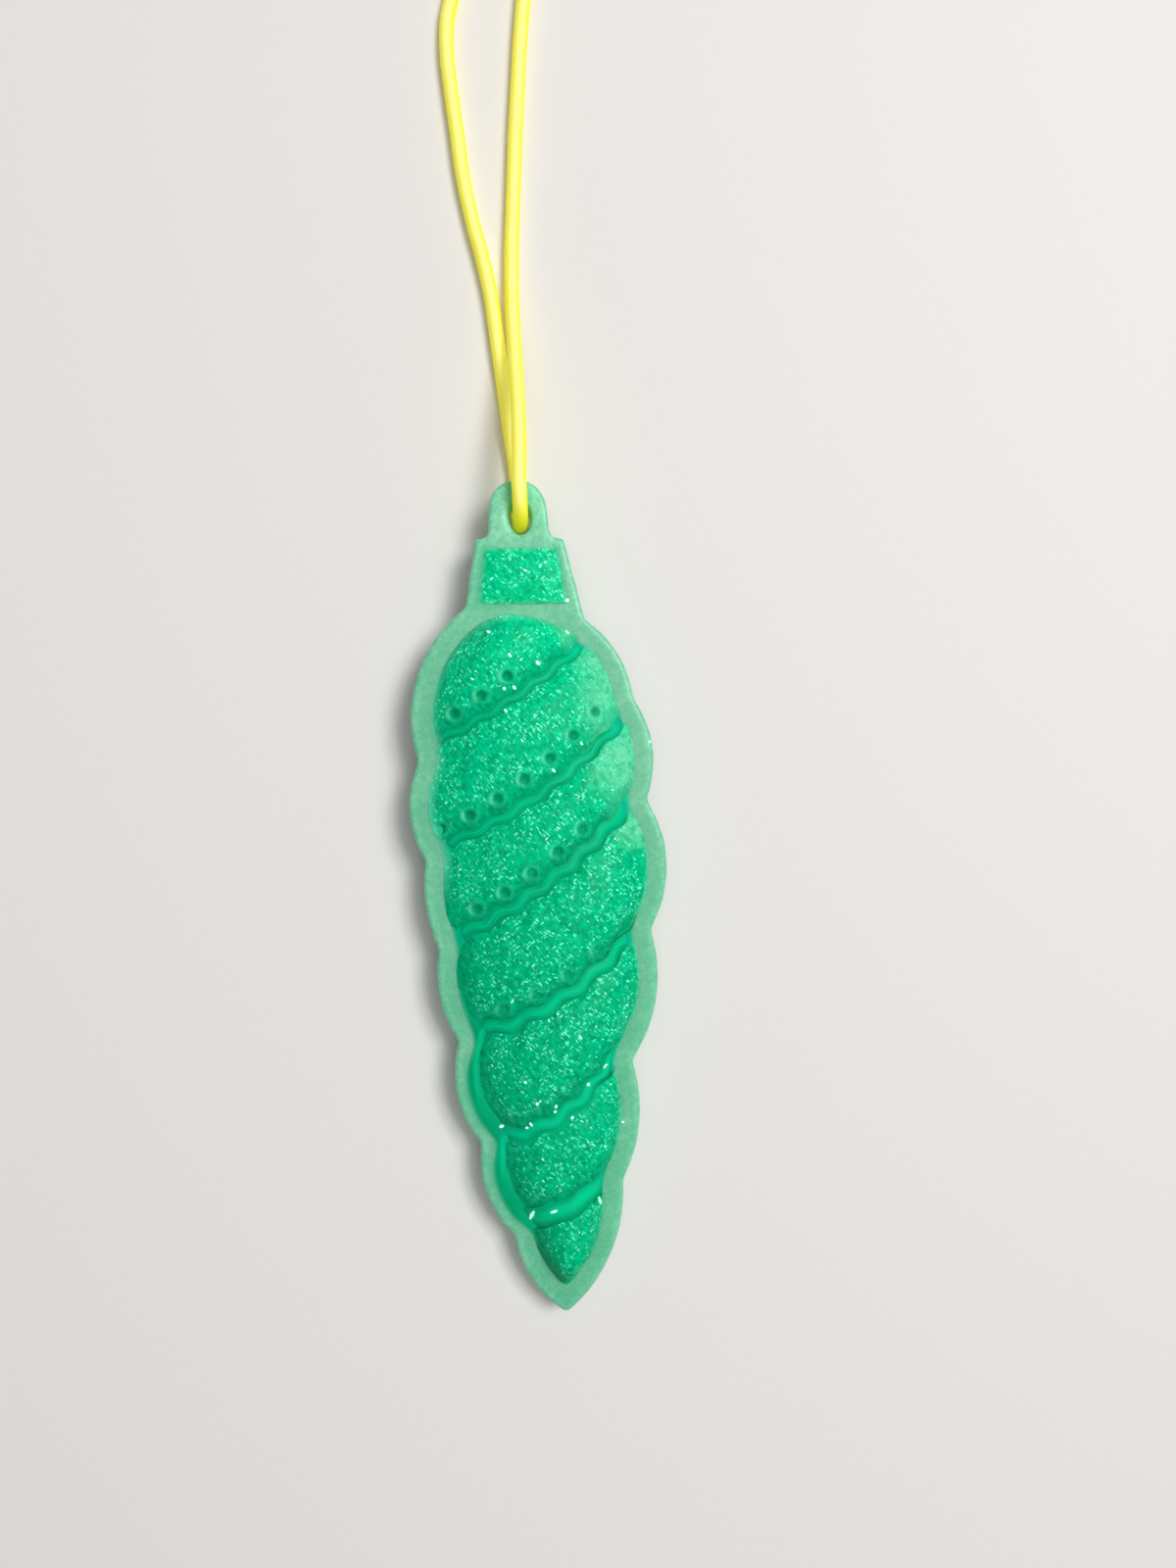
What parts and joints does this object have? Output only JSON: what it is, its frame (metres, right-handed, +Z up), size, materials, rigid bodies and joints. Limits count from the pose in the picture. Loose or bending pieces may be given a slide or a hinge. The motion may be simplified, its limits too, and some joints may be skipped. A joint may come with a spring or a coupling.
{
  "type": "hanging ornament",
  "caption": "Long cast drop ornament with a pale rim, slanting glitter lobes between wavy ribbons, a holed tab and a knotted hanging cord loop.",
  "frame": {"origin": "middle of the casting's box in X and Y, on the surface that the ornament lies on", "axes": "+Y from the pointed tip to the tab and along the cord, +Z up out of the relief, +X to the right seen from above"},
  "size_m": [0.0304, 0.2021, 0.01],
  "materials": {
    "pale_pour": "milky translucent mint casting resin, softly glossy, rounded edge",
    "clear_green_pour": "clear deep green casting resin, smooth and glossy, no glitter",
    "glitter_pour": "green casting resin full of fine pale glitter, grainy surface with bright specks",
    "satin_cord": "bright yellow satin cord, soft sheen along its length"
  },
  "bodies": {
    "casting": {"pale_backing": "pale_pour", "green_bed": "clear_green_pour", "cap_fill": "glitter_pour", "lobe_1": "glitter_pour", "lobe_2": "glitter_pour", "lobe_3": "glitter_pour", "lobe_4": "glitter_pour", "lobe_5": "glitter_pour", "lobe_6": "glitter_pour", "lobe_7": "glitter_pour"},
    "hanging_loop": {"loop_cord": "satin_cord", "loop_knot": "satin_cord"}
  },
  "joints": [
    {"name": "loop_swing", "type": "hinge", "parent": "casting", "child": "hanging_loop", "pos_m": [-0.00014, 0.04865, 0.0046], "axis": [1, 0, 0], "range_deg": [-90, 90]}
  ]
}
